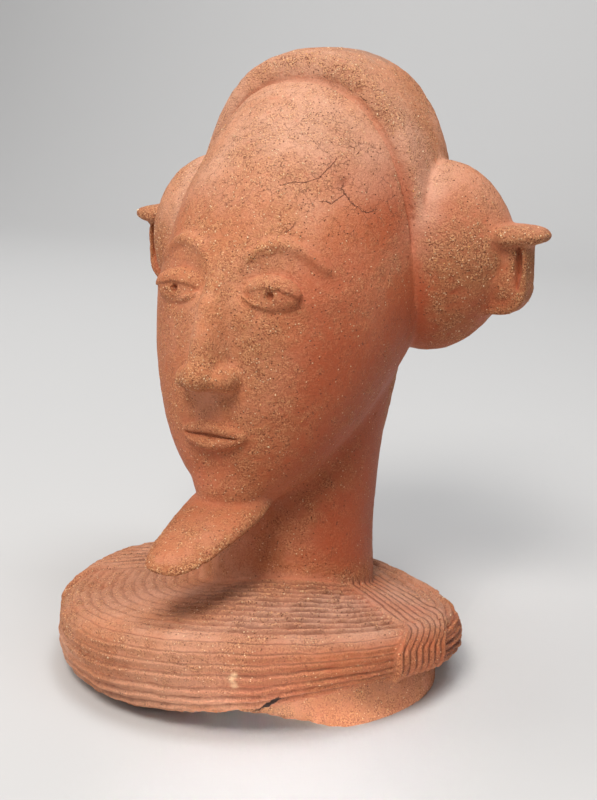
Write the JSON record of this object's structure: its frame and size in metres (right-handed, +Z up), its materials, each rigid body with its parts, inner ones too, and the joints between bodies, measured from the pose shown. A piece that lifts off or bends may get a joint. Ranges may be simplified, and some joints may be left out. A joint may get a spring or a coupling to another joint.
{
  "type": "terracotta head sculpture",
  "caption": "Fired-clay head of a ruler with swept-back hair, round side buns, brimmed ear lugs and a shovel beard, standing on a corded ring collar with part of a broken shoulder.",
  "frame": {"origin": "on the flat underside, below the middle of the bounding box", "axes": "+Z up from collar to crown, -Y the way the face looks, +X the figure's own left"},
  "size_m": [0.1914, 0.179, 0.2405],
  "materials": {
    "terracotta": "burnished red slip worn through to coarse grainy clay on the high places"
  },
  "bodies": {
    "root": {"king_head": "terracotta"}
  },
  "joints": []
}
